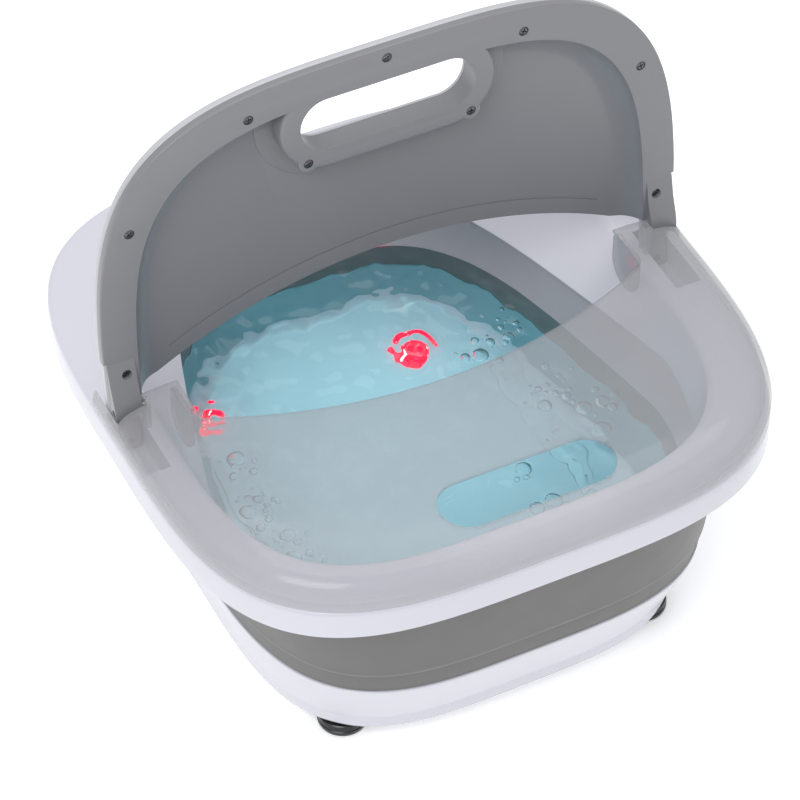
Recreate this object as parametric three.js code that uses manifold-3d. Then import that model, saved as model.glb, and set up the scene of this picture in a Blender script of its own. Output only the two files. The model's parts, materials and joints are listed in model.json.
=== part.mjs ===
// Collapsible foot spa basin, in millimetres, +Z up.
// Origin: on the floor, under the middle of the basin. -Y is the front, under the clear cover.
import * as THREE from 'three';
import { mergeVertices } from 'three/addons/utils/BufferGeometryUtils.js';
import Module from 'manifold-3d';

const wasm = await Module();
wasm.setup();

// Driving dimensions
const footHeight = 10;
const baseTop = 70;
const rimTop = 175;
const rimHalfX = 200;
const rimHalfY = 208;
const roundness = 3.6; // exponent of every plan outline
const baseHalfX = 160;
const baseHalfY = 187.5;
const soleHalfX = 149;
const soleFront = 168;
const soleRear = 175;
const wall = 2.8;
const gap = 0.4; // between neighbouring pieces
const skirtHeight = 21.7;
const collarHeight = 36;
const innerHalfX = 167.5;
const innerFront = 170;
const innerRear = 188;
const funnelHalfX = 158.5; // the collar's lower edge
const funnelFront = 166;
const funnelRear = 184;
const funnelTaper = 0.0017; // share of its width lost per millimetre behind taperStart
const taperStart = -60;
const floorTop = 31;
const floorThickness = 2.4;
const coverHeight = 26;
const coverWall = 2.3;

const hingeY = 3.4;
const hingeZ = rimTop + 18.1;
const lidLean = 4.33; // degrees behind vertical
const lidThickness = 12;
const lidFace = -4.1; // the lid's front face, behind the hinge axis
const lidSplit = lidFace - 6; // where the two shells meet
const panInset = 23; // the sunken panel's edge at the face, in from the basin's outline
const panFloorInset = 38;
const panDepth = 14;
const panWall = 1.8;
const edgeDrop = 18; // how far the lid's free edge hangs below the arc
const legInner = 178.5;
const legOuter = 196.9;
const tailOuter = 194;
const tailLength = 37;
const arcRadius = 345; // free edges of the cover and the lid
const arcApex = 66; // from the basin's middle
const holeLength = 118;
const holeHeight = 37;
const holeCentre = 166;
const pinRadius = 2.5;
const knuckleRadius = 5.5;

const lampSpots = [['left', -97, 97], ['right', 56, 97]];
const lampRadius = 13;
const stripX = 104; // the air strips, each side of the middle
const stripHeight = 2.2;
const baseScrewSpots = [[-92, -96], [92, -96], [-112, 66], [92, 96]];
const footX = 108;
const footY = 130;
const footRadius = 16.5;
const panelLength = 104;
const panelHeight = 28;
const buttonXs = [-40, -24, 40];
const buttonRadius = 5.6;
const wallTilt = Math.atan((baseHalfY - soleRear) / (baseTop - 16)); // the base wall leans out

// Materials
const plastic = (color, roughness = 0.35) => new THREE.MeshStandardMaterial({ color, roughness, metalness: 0 });
const white = plastic(0xe9e9f0, 0.3);
const silicone = plastic(0x86868a, 0.6);
const lidGrey = plastic(0x85858a, 0.4);
const backGrey = plastic(0xb4b4ba, 0.35);
const black = plastic(0x101012, 0.7);
const darkPlastic = plastic(0x2c2c30, 0.5);
const buttonGrey = plastic(0xb9bac0, 0.4);
const boardGreen = plastic(0x1f5a38, 0.6);
const tubeClear = plastic(0xcfd6d8, 0.3);
const steel = new THREE.MeshStandardMaterial({ color: 0xb8b8bc, roughness: 0.3, metalness: 1 });
const aluminium = new THREE.MeshStandardMaterial({ color: 0xc4c6c8, roughness: 0.4, metalness: 1 });
const red = new THREE.MeshStandardMaterial({ color: 0xff2a50, roughness: 0.2, metalness: 0 });
const smoky = new THREE.MeshStandardMaterial({
  color: 0xb9bcc4,
  roughness: 0.08,
  metalness: 0,
  transparent: true,
  opacity: 0.45,
});
const windowBlack = plastic(0x0b0c10, 0.1);

const part = new THREE.Group();

function place(parent, name, geometry, material, x = 0, y = 0, z = 0) {
  const mesh = new THREE.Mesh(geometry, material);
  mesh.name = name;
  mesh.position.set(x, y, z);
  parent.add(mesh);
  return mesh;
}

// Booleans on closed meshes
function solid(geometry) {
  const bare = geometry.clone();
  bare.deleteAttribute('normal');
  bare.deleteAttribute('uv');
  const merged = mergeVertices(bare, 1e-4);
  return new wasm.Manifold(new wasm.Mesh({
    numProp: 3,
    vertProperties: new Float32Array(merged.attributes.position.array),
    triVerts: new Uint32Array(merged.index.array),
  }));
}

function toGeometry(manifold) {
  const mesh = manifold.getMesh();
  const geometry = new THREE.BufferGeometry();
  geometry.setAttribute('position', new THREE.BufferAttribute(mesh.vertProperties, 3));
  geometry.setIndex(new THREE.BufferAttribute(mesh.triVerts, 1));
  return geometry;
}

// Join and cut a started manifold
function combine(start, added, removed) {
  let result = start;
  for (const piece of added) {
    result = result.add(piece);
  }
  for (const piece of removed) {
    result = result.subtract(piece);
  }
  return result;
}

const build = (start, added = [], removed = []) => (
  toGeometry(combine(solid(start), added.map(solid), removed.map(solid)))
);

// A plan outline: a rounded oblong whose front and rear depths may differ, and which may narrow to the rear
function outlinePoint(halfX, front, rear, angle, taper = 0) {
  const c = Math.cos(angle);
  const s = Math.sin(angle);
  const power = 2 / roundness;
  const y = (s < 0 ? front : rear) * Math.sign(s) * Math.abs(s) ** power;
  const width = halfX * (1 - taper * Math.max(y - taperStart, 0));
  return [width * Math.sign(c) * Math.abs(c) ** power, y];
}

// Skin over stations [halfX, front, rear, z, taper]. A closed loop makes a ring;
// otherwise the first and last stations are capped at their middles.
function loft(stations, closedLoop, segments = 40) {
  const positions = [];
  const index = [];
  for (const [halfX, front, rear, z, taper] of stations) {
    for (let i = 0; i < segments; i += 1) {
      const [x, y] = outlinePoint(halfX, front, rear, (2 * Math.PI * i) / segments, taper);
      positions.push(x, y, z);
    }
  }
  const rows = closedLoop ? stations.length : stations.length - 1;
  for (let row = 0; row < rows; row += 1) {
    const next = (row + 1) % stations.length;
    for (let i = 0; i < segments; i += 1) {
      const j = (i + 1) % segments;
      const [a, b] = [row * segments + i, row * segments + j];
      const [c, d] = [next * segments + i, next * segments + j];
      index.push(a, b, d, a, d, c);
    }
  }
  if (!closedLoop) {
    capEnd(positions, index, stations[0][3], 0, segments, true);
    capEnd(positions, index, stations.at(-1)[3], (stations.length - 1) * segments, segments, false);
  }
  const geometry = new THREE.BufferGeometry();
  geometry.setAttribute('position', new THREE.Float32BufferAttribute(positions, 3));
  geometry.setIndex(index);
  return geometry;
}

function capEnd(positions, index, z, start, segments, first) {
  const middle = positions.length / 3;
  positions.push(0, 0, z);
  for (let i = 0; i < segments; i += 1) {
    const [a, b] = [start + i, start + ((i + 1) % segments)];
    index.push(...(first ? [middle, b, a] : [middle, a, b]));
  }
}

// Same depth in front and behind
const even = (halfX, halfY, z) => [halfX, halfY, halfY, z];

// The sole's outline, inset
const sole = (inset, z) => [soleHalfX - inset, soleFront - inset, soleRear - inset, z];

function extrude(shape, depth, z = 0, curveSegments = 12) {
  const geometry = new THREE.ExtrudeGeometry(shape, { depth, bevelEnabled: false, curveSegments });
  geometry.translate(0, 0, z);
  return geometry;
}

function box(width, depth, height, x, y, z) {
  const geometry = new THREE.BoxGeometry(width, depth, height);
  geometry.translate(x, y, z);
  return geometry;
}

// A round bar along X, centred on (x, y, z)
function barX(radius, length, x, y, z, sides = 16) {
  const geometry = new THREE.CylinderGeometry(radius, radius, length, sides);
  geometry.rotateZ(Math.PI / 2);
  geometry.translate(x, y, z);
  return geometry;
}

// A round bar along Z standing on z
function barZ(radius, height, x, y, z, sides = 16) {
  const geometry = new THREE.CylinderGeometry(radius, radius, height, sides);
  geometry.rotateX(Math.PI / 2);
  geometry.translate(x, y, z + height / 2);
  return geometry;
}

function stadium(length, height, centreY = 0) {
  const shape = new THREE.Shape();
  const straight = (length - height) / 2;
  shape.absarc(straight, centreY, height / 2, -Math.PI / 2, Math.PI / 2);
  shape.absarc(-straight, centreY, height / 2, Math.PI / 2, (3 * Math.PI) / 2);
  return shape;
}

function lathe(points, sides = 16) {
  const geometry = new THREE.LatheGeometry(points.map(([r, z]) => new THREE.Vector2(r, z)), sides);
  geometry.rotateX(Math.PI / 2);
  return geometry;
}

// Height of the free edges' arc above their ends: distance from the basin's middle at x
const arcDistance = (x) => arcApex - arcRadius + Math.sqrt(arcRadius ** 2 - x ** 2);

// ---------- base ----------

// The panel and the cord gland stand square to the leaning rear wall
function wallGroup(x, z) {
  const group = new THREE.Group();
  const share = (z - 16) / (baseTop - 16);
  const halfX = soleHalfX + (baseHalfX - soleHalfX) * share;
  const halfY = soleRear + (baseHalfY - soleRear) * share;
  const y = halfY * (1 - Math.abs(x / halfX) ** roundness) ** (1 / roundness);
  group.position.set(x, y, z);
  group.rotation.x = -Math.PI / 2 - wallTilt;
  return group;
}

const panelGroup = wallGroup(0, 46);
const glandGroup = wallGroup(-66, 26);

function inWall(group, geometry) {
  group.updateMatrix();
  return geometry.clone().applyMatrix4(group.matrix);
}

function makeBaseShell() {
  const outer = [
    sole(7, footHeight + 0.4),
    sole(2.4, footHeight + 2.2),
    sole(0, footHeight + 6),
    even(baseHalfX, baseHalfY, baseTop - 1.2),
    even(baseHalfX - 0.8, baseHalfY - 0.8, baseTop),
  ];
  const inner = [
    even(baseHalfX - wall, baseHalfY - wall, baseTop),
    sole(wall, footHeight + 7),
    sole(wall + 3, footHeight + 3.2),
    sole(wall + 7, footHeight + 2.6),
    sole(wall + 7, footHeight + 0.4),
  ];
  const windows = [
    inWall(panelGroup, extrude(stadium(panelLength - 8, panelHeight - 8), 12, -6)),
    inWall(glandGroup, barZ(7, 14, 0, 0, -8)),
  ];
  return build(loft([...outer, ...inner], true), [], windows);
}

function makeWetLiner() {
  const under = floorTop - floorThickness;
  const outer = [
    even(127, 153, under),
    even(134, 160, under + 4),
    even(137, 163, under + 12),
    even(151, 178.5, baseTop - 4),
    even(155.6, 183.1, baseTop - 3),
    even(155.6, 183.1, baseTop - 0.2),
  ];
  const inner = [
    even(153.5, 181, baseTop - 0.2),
    even(149, 176.5, baseTop - 5),
    even(133.6, 159.6, floorTop + 10),
    even(130.5, 156.5, floorTop + 2.8),
    even(126, 152, floorTop),
  ];
  const bosses = baseScrewSpots.map(([x, y]) => barZ(5, under + 1 - 12.8, x, y, 12.8, 12));
  const bores = baseScrewSpots.map(([x, y]) => barZ(1.8, 14, x, y, 12, 8));
  return build(loft([...outer, ...inner], false), bosses, bores);
}

function makeBottomCover() {
  const inset = 7 + wall + gap;
  const plate = loft([sole(inset, footHeight), sole(inset, footHeight + 2.4)], false);
  const vents = [-12, -4, 4, 12].map((x) => box(3, 34, 8, x - 60, 70, footHeight + 1));
  const holes = baseScrewSpots.map(([x, y]) => barZ(2, 8, x, y, footHeight - 3, 8));
  return build(plate, [], [...vents, ...holes]);
}

const footSpots = [
  ['front_left', -footX, -footY], ['front_right', footX, -footY],
  ['rear_left', -footX, footY], ['rear_right', footX, footY],
];
const foot = lathe([
  [0, 0], [footRadius - 2, 0], [footRadius, 1.6], [footRadius - 0.6, footHeight - gap], [0, footHeight - gap],
], 20);

function makeBlower() {
  const group = new THREE.Group();
  group.position.set(-60, 70, footHeight + 2.8);
  const housing = build(
    lathe([[0, 0], [31, 0], [31, 11], [29, 11], [29, 1.6], [0, 1.6]], 20),
    [box(16, 14, 9, 0, 34, 4.9)],
    [box(12, 20, 5.6, 0, 34, 5.2), barZ(26, 9, 0, 0, 1.6, 20)],
  );
  place(group, 'blower_housing', housing, darkPlastic);
  const lid = build(lathe([[0, 11.4], [31, 11.4], [31, 12.8], [0, 12.8]], 20), [], [barZ(11, 6, 0, 0, 9, 12)]);
  place(group, 'blower_cover', lid, darkPlastic);
  const motor = lathe([[0, 2], [9, 2], [9, 5], [1, 5], [1, 8.4], [0, 8.4]], 12);
  place(group, 'blower_motor', motor, steel);
  const blades = [];
  for (let i = 0; i < 8; i += 1) {
    const blade = box(13, 1.2, 4, 17, 0, 8.4);
    blade.rotateZ((i * Math.PI) / 4);
    blades.push(blade);
  }
  const disc = lathe([[1.1, 5.6], [25, 5.6], [25, 6.6], [6, 6.6], [4, 10.4], [1.1, 10.4], [1.1, 5.6]], 16);
  place(group, 'blower_impeller', build(disc, blades), darkPlastic);
  return group;
}

function makeAirTube() {
  const path = new THREE.CatmullRomCurve3([
    new THREE.Vector3(-60, 112.2, 20.6),
    new THREE.Vector3(-58, 126, 20.6),
    new THREE.Vector3(-30, 134, 20.6),
    new THREE.Vector3(6, 124, 20.6),
    new THREE.Vector3(20, 96, 20.6),
    new THREE.Vector3(20, 60, 20.6),
  ]);
  const section = new THREE.Shape();
  section.absarc(0, 0, 4, 0, 2 * Math.PI);
  return new THREE.ExtrudeGeometry(section, { extrudePath: path, steps: 20, curveSegments: 4 });
}

// A low bar on the tub floor that lets the air out as bubbles
function makeAirStrip() {
  const holes = [];
  for (let i = -3; i <= 3; i += 1) {
    holes.push(barZ(1.6, 8, 0, i * 20, -1, 6));
  }
  const shape = stadium(150, 18);
  const bar = extrude(shape, stripHeight, 0, 4);
  bar.rotateZ(Math.PI / 2);
  return build(bar, [], holes);
}

function makePanel() {
  const cuts = buttonXs.map((x) => extrude(circle(buttonRadius + gap, x), 8, -4, 8));
  cuts.push(box(42 + 2 * gap, 15 + 2 * gap, 8, 8, 0, 0));
  const bezel = build(
    extrude(stadium(panelLength - 8 - 2 * gap, panelHeight - 8 - 2 * gap), 3, -2.6, 6),
    [extrude(stadium(panelLength, panelHeight), 1.4, 0.4, 6)],
    cuts,
  );
  place(panelGroup, 'control_panel_bezel', bezel, darkPlastic);
  place(panelGroup, 'display_window', box(42, 15, 2, 8, 0, 0.6), windowBlack);
  const names = ['heat_button', 'bubble_button', 'power_button'];
  buttonXs.forEach((x, i) => {
    const cap = lathe([[0, -2], [buttonRadius, -2], [buttonRadius, 2.4], [buttonRadius - 1, 3.2], [0, 3.2]], 16);
    place(panelGroup, names[i], cap, buttonGrey, x, 0, 0);
  });
  place(panelGroup, 'control_board', box(88, 17, 1.6, 0, 0, -6.6), boardGreen);
  return panelGroup;
}

function circle(radius, x = 0, y = 0) {
  const shape = new THREE.Shape();
  shape.absarc(x, y, radius, 0, 2 * Math.PI);
  return shape;
}

function makeBase() {
  place(part, 'base_shell', makeBaseShell(), white);
  place(part, 'wet_liner', makeWetLiner(), white);
  place(part, 'bottom_cover', makeBottomCover(), white);
  for (const [name, x, y] of footSpots) {
    place(part, `${name}_foot`, foot, black, x, y, 0);
  }
  const screw = lathe([[0, -2], [3, -2], [3.6, -0.2], [1.6, -0.2], [1.6, 12], [0, 12]], 10);
  baseScrewSpots.forEach(([x, y], i) => {
    place(part, `base_screw_${i + 1}`, screw, steel, x, y, footHeight - 0.2);
  });
  part.add(makeBlower());
  place(part, 'air_tube', makeAirTube(), tubeClear);
  for (const [side, x] of [['left', -stripX], ['right', stripX]]) {
    place(part, `${side}_air_strip`, makeAirStrip(), white, x, 0, floorTop + gap);
  }
  for (const [side, x, y] of lampSpots) {
    const dome = lathe([[0, 0], [lampRadius, 0], [lampRadius, 3], [lampRadius - 2, 6.4], [6, 9], [0, 9.8]], 16);
    place(part, `${side}_lamp_lens`, dome, red, x, y, floorTop + gap);
    place(part, `${side}_led_board`, barZ(9, 1.6, 0, 0, 0), boardGreen, x, y, floorTop - floorThickness - 2.4);
  }
  place(part, 'heater_plate', box(92, 62, 5, 40, -44, 25.6), aluminium);
  place(part, 'thermostat', barZ(8, 5.4, 40, -44, 17), black);
  part.add(makePanel());
  const gland = lathe([[3.4, -4], [6.4, -4], [6.4, 1.4], [8.4, 1.4], [7.6, 5], [3.4, 7], [3.4, -4]], 12);
  place(glandGroup, 'cord_gland', gland, black);
  part.add(glandGroup);
}

// ---------- rim and bellows ----------

function makeRim() {
  const skirtEnd = rimTop - skirtHeight;
  const collarEnd = rimTop - collarHeight;
  const thick = 3;
  const ring = loft([
    even(rimHalfX, rimHalfY, skirtEnd),
    even(rimHalfX, rimHalfY, rimTop - 4),
    even(rimHalfX - 1.2, rimHalfY - 1.2, rimTop - 1.2),
    even(rimHalfX - 4, rimHalfY - 4, rimTop),
    [innerHalfX + 4, innerFront + 4, innerRear + 4, rimTop],
    [innerHalfX + 1, innerFront + 1, innerRear + 1, rimTop - 1.6],
    [innerHalfX, innerFront, innerRear, rimTop - 5],
    [funnelHalfX, funnelFront, funnelRear, collarEnd, funnelTaper],
    [funnelHalfX + thick, funnelFront + thick, funnelRear + thick, collarEnd, funnelTaper],
    [innerHalfX + thick, innerFront + thick, innerRear + thick, rimTop - thick - 0.5],
    even(rimHalfX - thick, rimHalfY - thick, rimTop - thick - 0.5),
    even(rimHalfX - thick, rimHalfY - thick, skirtEnd),
  ], true);
  const added = [];
  const removed = [];
  for (const side of [-1, 1]) {
    // the pocket that a lid leg's tail swings in
    const middle = side * (legInner + tailOuter) / 2;
    const [bottom, top] = [rimTop - skirtHeight, rimTop - 0.6];
    added.push(box(22, 63, top - bottom, middle + side * 0.5, -7, (bottom + top) / 2));
    removed.push(box(18.1, 59.4, 30, middle, -7, bottom + 1.8 + 15));
  }
  return build(ring, added, removed);
}

function makeBellows() {
  const thick = 2.2;
  const outer = [
    even(baseHalfX - 0.6, baseHalfY - 0.6, baseTop + gap),
    even(baseHalfX, baseHalfY, baseTop + 9),
    even(baseHalfX + 3, baseHalfY + 2.5, baseTop + 18),
    even(baseHalfX + 6, baseHalfY + 4.5, baseTop + 40),
    even(baseHalfX + 10, baseHalfY + 7, baseTop + 66),
    even(baseHalfX + 13.2, baseHalfY + 9.5, baseTop + 84),
    even(baseHalfX + 13.2, baseHalfY + 9.5, rimTop - 8),
  ];
  const bead = [
    even(baseHalfX + 15, baseHalfY + 11.5, rimTop - 7.8),
    even(baseHalfX + 15, baseHalfY + 11.5, rimTop - 4),
  ];
  const inner = outer.map(([x, front, rear, z]) => [x - thick, front - thick, rear - thick, z]).reverse();
  inner[0][3] = rimTop - 4;
  return build(loft([...outer, ...bead, ...inner], true));
}

function makeClampRing() {
  const outerX = baseHalfX + 15;
  const outerY = baseHalfY + 11.5;
  return build(loft([
    even(outerX, outerY, rimTop - 12),
    even(outerX, outerY, rimTop - 8.2),
    even(outerX - 1.4, outerY - 1.6, rimTop - 8.2),
    even(outerX - 1.4, outerY - 1.6, rimTop - 12),
  ], true));
}

// ---------- clear front cover ----------

function coverStations(shrink, lift) {
  const half = [[0, gap], [0, 8], [1, 12.4], [3.6, 17.2], [9, 21], [18, 23.7], [32, 25.2]];
  return half.map(([inset, z]) => even(rimHalfX - inset - shrink, rimHalfY - inset - shrink, rimTop + z + lift));
}

function makeCoverBlank() {
  const outer = coverStations(0, 0);
  const inner = coverStations(coverWall, -coverWall * 0.9).reverse();
  inner.at(-1)[3] = rimTop + gap;
  const top = even(60, 62, rimTop + coverHeight);
  const under = even(60, 62, rimTop + coverHeight - coverWall);
  return loft([under, ...inner, ...outer, top], false);
}

// Plan of the cover: front half with an arced free edge, and an ear on each side of each lid leg
function coverPlan() {
  const earEnd = 11;
  const earInner = 153;
  const slotInner = legInner - 1.2;
  const slotOuter = legOuter + 0.5;
  const slotFront = hingeY - knuckleRadius - 1.4;
  const shape = new THREE.Shape();
  shape.moveTo(210, -215);
  shape.lineTo(210, 31);
  shape.lineTo(slotOuter, 31);
  shape.lineTo(slotOuter, slotFront);
  shape.lineTo(slotInner, slotFront);
  shape.lineTo(slotInner, earEnd);
  shape.lineTo(earInner, earEnd);
  const steps = 16;
  for (let i = 0; i <= steps; i += 1) {
    const x = earInner - (2 * earInner * i) / steps;
    shape.lineTo(x, -arcDistance(x));
  }
  shape.lineTo(-earInner, earEnd);
  shape.lineTo(-slotInner, earEnd);
  shape.lineTo(-slotInner, slotFront);
  shape.lineTo(-slotOuter, slotFront);
  shape.lineTo(-slotOuter, 31);
  shape.lineTo(-210, 31);
  shape.lineTo(-210, -215);
  return shape;
}

// A plate standing across X: outline in (y, z), from x to x + thickness
function plateX(shape, x, thickness) {
  const geometry = extrude(shape, thickness, 0, 10);
  geometry.rotateY(Math.PI / 2);
  geometry.rotateX(Math.PI / 2);
  geometry.translate(x, 0, 0);
  return geometry;
}

function roundEar(radius, bottomZ) {
  const shape = new THREE.Shape();
  shape.moveTo(hingeY - radius, bottomZ);
  shape.lineTo(hingeY + radius, bottomZ);
  shape.absarc(hingeY, hingeZ, radius, 0, Math.PI);
  return shape;
}

function hangingTab() {
  const [middle, radius] = [-7.5, 16];
  const shape = new THREE.Shape();
  shape.moveTo(middle - radius, rimTop + coverHeight - 1.6);
  shape.absarc(middle, rimTop + 2.5, radius, Math.PI, 2 * Math.PI);
  shape.lineTo(middle + radius, rimTop + coverHeight - 8);
  shape.lineTo(middle + 9, rimTop + coverHeight - 1.6);
  return shape;
}

function makeCover() {
  const added = [];
  const removed = [extrude(stadium(holeLength, holeHeight, -holeCentre), 60, rimTop - 10)];
  const rimWall = extrude(stadium(holeLength + 5, holeHeight + 5, -holeCentre), 10, rimTop + 15.4);
  for (const side of [-1, 1]) {
    const inner = side > 0 ? legInner - 4.4 : -legInner + 1.2;
    const outer = side > 0 ? legOuter + 0.5 : -rimHalfX;
    added.push(plateX(roundEar(7.6, rimTop + 0.6), inner, 3.2));
    added.push(plateX(roundEar(7.6, rimTop + 0.6), outer, rimHalfX - legOuter - 0.5));
    added.push(plateX(hangingTab(), side > 0 ? 154.6 : -157.4, 2.8));
    removed.push(barX(pinRadius + 0.35, 60, side * 186, hingeY, hingeZ));
  }
  let cover = solid(makeCoverBlank()).intersect(solid(extrude(coverPlan(), 80, rimTop - 30)));
  cover = cover.add(solid(rimWall));
  for (const piece of added) {
    cover = cover.add(solid(piece));
  }
  for (const piece of removed) {
    cover = cover.subtract(solid(piece));
  }
  return toGeometry(cover);
}

// ---------- lid ----------

// Points of the basin's rear outline, inset and seen from the hinge axis, down to a height above it
function archPoints(inset, lowest) {
  const steps = 44;
  const points = [];
  for (let i = 0; i <= steps; i += 1) {
    const [x, y] = outlinePoint(rimHalfX - 1 - inset, rimHalfY - inset, rimHalfY - inset, (Math.PI * i) / steps);
    if (y - hingeY > lowest + 1) {
      points.push([x, y - hingeY]);
    }
  }
  return points;
}

// Points of the lid's free edge, left to right, raised above it. Beside the legs it clears the cover's ears.
function edgePoints(halfWidth, raise) {
  const steps = 16;
  const points = [];
  for (let i = 0; i <= steps; i += 1) {
    const x = -halfWidth + (2 * halfWidth * i) / steps;
    points.push([x, Math.max(arcDistance(x) - hingeY - edgeDrop, 9.4) + raise]);
  }
  return points;
}

const polygon = (points) => new THREE.Shape(points.map(([x, y]) => new THREE.Vector2(x, y)));

// Outline in the lid's own plane: x across, y up from the hinge axis
function lidOutline(inset) {
  const shoulder = 36;
  const notch = -6.4;
  const arch = archPoints(inset, shoulder);
  const outer = legOuter - inset;
  const narrow = tailOuter - inset;
  return polygon([
    [outer, notch], [outer, shoulder], [arch[0][0], shoulder],
    ...arch,
    [arch.at(-1)[0], shoulder], [-outer, shoulder], [-outer, notch],
    [-narrow, notch], [-narrow, -tailLength], [-legInner - inset, -tailLength],
    ...edgePoints(legInner + inset, inset),
    [legInner + inset, -tailLength], [narrow, -tailLength], [narrow, notch],
  ]);
}

// The panel's hollow, grown by a wall's thickness. It narrows from the lid's face to the panel.
function panSolid(grow) {
  const slab = (inset, z) => {
    const arch = archPoints(inset - grow, 0);
    return solid(extrude(polygon([...arch, [arch.at(-1)[0], 0], [arch[0][0], 0]]), 0.1, z));
  };
  return wasm.Manifold.hull([slab(panInset, lidFace), slab(panFloorInset, lidFace - panDepth - grow)]);
}

// What lies below the free edge, between the legs
const underEdge = () => extrude(polygon([...edgePoints(legInner, 0), [legInner, -2], [-legInner, -2]]), 60, -50);

const screwSpots = [
  [0, 197], [-92, 184], [92, 184], [-173.5, 129], [173.5, 129], [-184.8, 25], [184.8, 25],
  [-55, 137.5], [55, 137.5], [-187, -30.5], [187, -30.5],
];

const handleHole = () => extrude(stadium(holeLength, holeHeight, holeCentre - hingeY), 40, -30, 8);

// Below the hinge the tails end on an arc round the axis, so that they swing in their pockets
const tailRound = () => solid(box(420, 60, 60, 0, -38, 0)).subtract(solid(barX(tailLength, 430, 0, 0, 0, 32)));

function makeLidFront() {
  const floor = lidFace - panDepth - 0.5;
  const ring = stadium(holeLength + 26, holeHeight + 26, holeCentre - hingeY);
  const bosses = [-55, 55].map((x) => barZ(6.5, lidFace - floor, x, 137.5, floor, 10));
  const raised = [extrude(ring, lidFace - floor, floor, 8), ...bosses].map((piece) => (
    solid(piece).intersect(panSolid(panWall))
  ));
  const behind = solid(box(420, 60, 30, 0, 0, lidSplit - 15));
  const knuckleX = (legOuter + legInner) / 2;
  const knuckles = [-knuckleX, knuckleX].map((x) => {
    return solid(barX(knuckleRadius, legOuter - legInner, x, 0, 0)).subtract(behind);
  });
  const holes = screwSpots.flatMap(([x, y]) => [barZ(1.9, 20, x, y, -20, 8), barZ(3.5, 4, x, y, lidFace - 1.4, 8)]);
  const bore = barX(pinRadius + 0.05, 420, 0, 0, 0);
  const above = solid(box(420, 460, 20, 0, 90, lidFace + 10));
  const tray = combine(solid(extrude(lidOutline(0), 6, lidSplit)), [panSolid(panWall)], [panSolid(0), above]);
  const cuts = [handleHole(), underEdge(), ...holes, bore].map(solid);
  return toGeometry(combine(tray, [...raised, ...knuckles], [...cuts, tailRound()]));
}

function makeLidBack() {
  const plate = solid(extrude(lidOutline(0.6), lidThickness - 6 - 0.3, lidFace - lidThickness));
  const above = solid(box(420, 460, 20, 0, 90, lidSplit - 0.3 + 10));
  const holes = screwSpots.map(([x, y]) => barZ(1.9, 6, x, y, lidSplit - 4.6, 8));
  const cuts = [...[handleHole(), underEdge(), ...holes].map(solid), above, tailRound()];
  return toGeometry(combine(plate, [panSolid(2 * panWall + gap)], [panSolid(panWall + gap), ...cuts]));
}

function makeLid() {
  const group = new THREE.Group();
  group.position.set(0, hingeY, hingeZ);
  group.rotation.x = THREE.MathUtils.degToRad(90 - lidLean);
  place(group, 'lid_front_shell', makeLidFront(), lidGrey);
  place(group, 'lid_back_shell', makeLidBack(), backGrey);
  const screw = lathe([[0, -9.4], [1.5, -9.4], [1.5, -1.1], [3.1, -1.1], [2.4, 0], [0, 0]], 8);
  screwSpots.forEach(([x, y], i) => {
    place(group, `lid_screw_${i + 1}`, screw, steel, x, y, lidFace - 0.2);
  });
  return group;
}

function makeTop() {
  place(part, 'front_cover', makeCover(), smoky);
  for (const [name, side] of [['left', -1], ['right', 1]]) {
    const pin = barX(pinRadius, rimHalfX - legInner + 3.6, side * (rimHalfX + legInner - 4.8) / 2, hingeY, hingeZ);
    place(part, `${name}_hinge_pin`, pin, steel);
  }
  part.add(makeLid());
}

makeBase();
place(part, 'rim', makeRim(), white);
place(part, 'bellows', makeBellows(), silicone);
place(part, 'bellows_clamp_ring', makeClampRing(), darkPlastic);
makeTop();

export default part;
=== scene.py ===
"""Foot spa basin: the looks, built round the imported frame, in the frame's own axes.

Sizes are in millimetres and become metres where a mesh, curve or matrix is made. The camera,
lights and floor are in metres.
"""

import json
import math
import random

import bmesh
import bpy
import numpy as np
from mathutils import Matrix, Vector


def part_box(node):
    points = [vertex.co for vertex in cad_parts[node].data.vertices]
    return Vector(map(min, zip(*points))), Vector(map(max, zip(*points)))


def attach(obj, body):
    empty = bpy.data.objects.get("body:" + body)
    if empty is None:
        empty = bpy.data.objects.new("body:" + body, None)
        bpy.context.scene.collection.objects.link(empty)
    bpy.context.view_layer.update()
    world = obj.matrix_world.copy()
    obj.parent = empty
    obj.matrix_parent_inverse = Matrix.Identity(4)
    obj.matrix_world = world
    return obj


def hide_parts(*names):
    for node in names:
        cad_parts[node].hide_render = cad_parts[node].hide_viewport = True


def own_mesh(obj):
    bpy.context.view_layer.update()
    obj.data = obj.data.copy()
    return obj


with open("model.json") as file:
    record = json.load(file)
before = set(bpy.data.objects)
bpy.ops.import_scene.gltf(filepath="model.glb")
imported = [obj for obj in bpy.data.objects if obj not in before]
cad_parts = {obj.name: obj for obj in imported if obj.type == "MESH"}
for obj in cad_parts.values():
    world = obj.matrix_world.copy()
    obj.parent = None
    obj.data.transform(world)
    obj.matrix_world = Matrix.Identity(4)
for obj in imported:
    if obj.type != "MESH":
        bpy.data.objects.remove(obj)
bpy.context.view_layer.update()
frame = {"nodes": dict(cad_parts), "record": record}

MM = 0.001


def extent(node):
    """Lowest and highest corners of a CAD node, in millimetres."""
    low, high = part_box(node)
    return np.array(low) / MM, np.array(high) / MM


# ---------- sizes taken from the frame ----------

RIM_HIGH = extent("rim")[1]
BASE_HIGH = extent("base_shell")[1]
BELLOWS_LOW, BELLOWS_HIGH = extent("bellows")
COVER_HIGH = extent("front_cover")[1]
PIN_LOW, PIN_HIGH = extent("right_hinge_pin")

RIM_X, RIM_Y = RIM_HIGH[0], RIM_HIGH[1]
RIM_TOP = RIM_HIGH[2]
BASE_X, BASE_Y = BASE_HIGH[0], BASE_HIGH[1]
BASE_TOP = BASE_HIGH[2]
HINGE_Y = (PIN_LOW[1] + PIN_HIGH[1]) / 2
HINGE_Z = (PIN_LOW[2] + PIN_HIGH[2]) / 2

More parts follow.
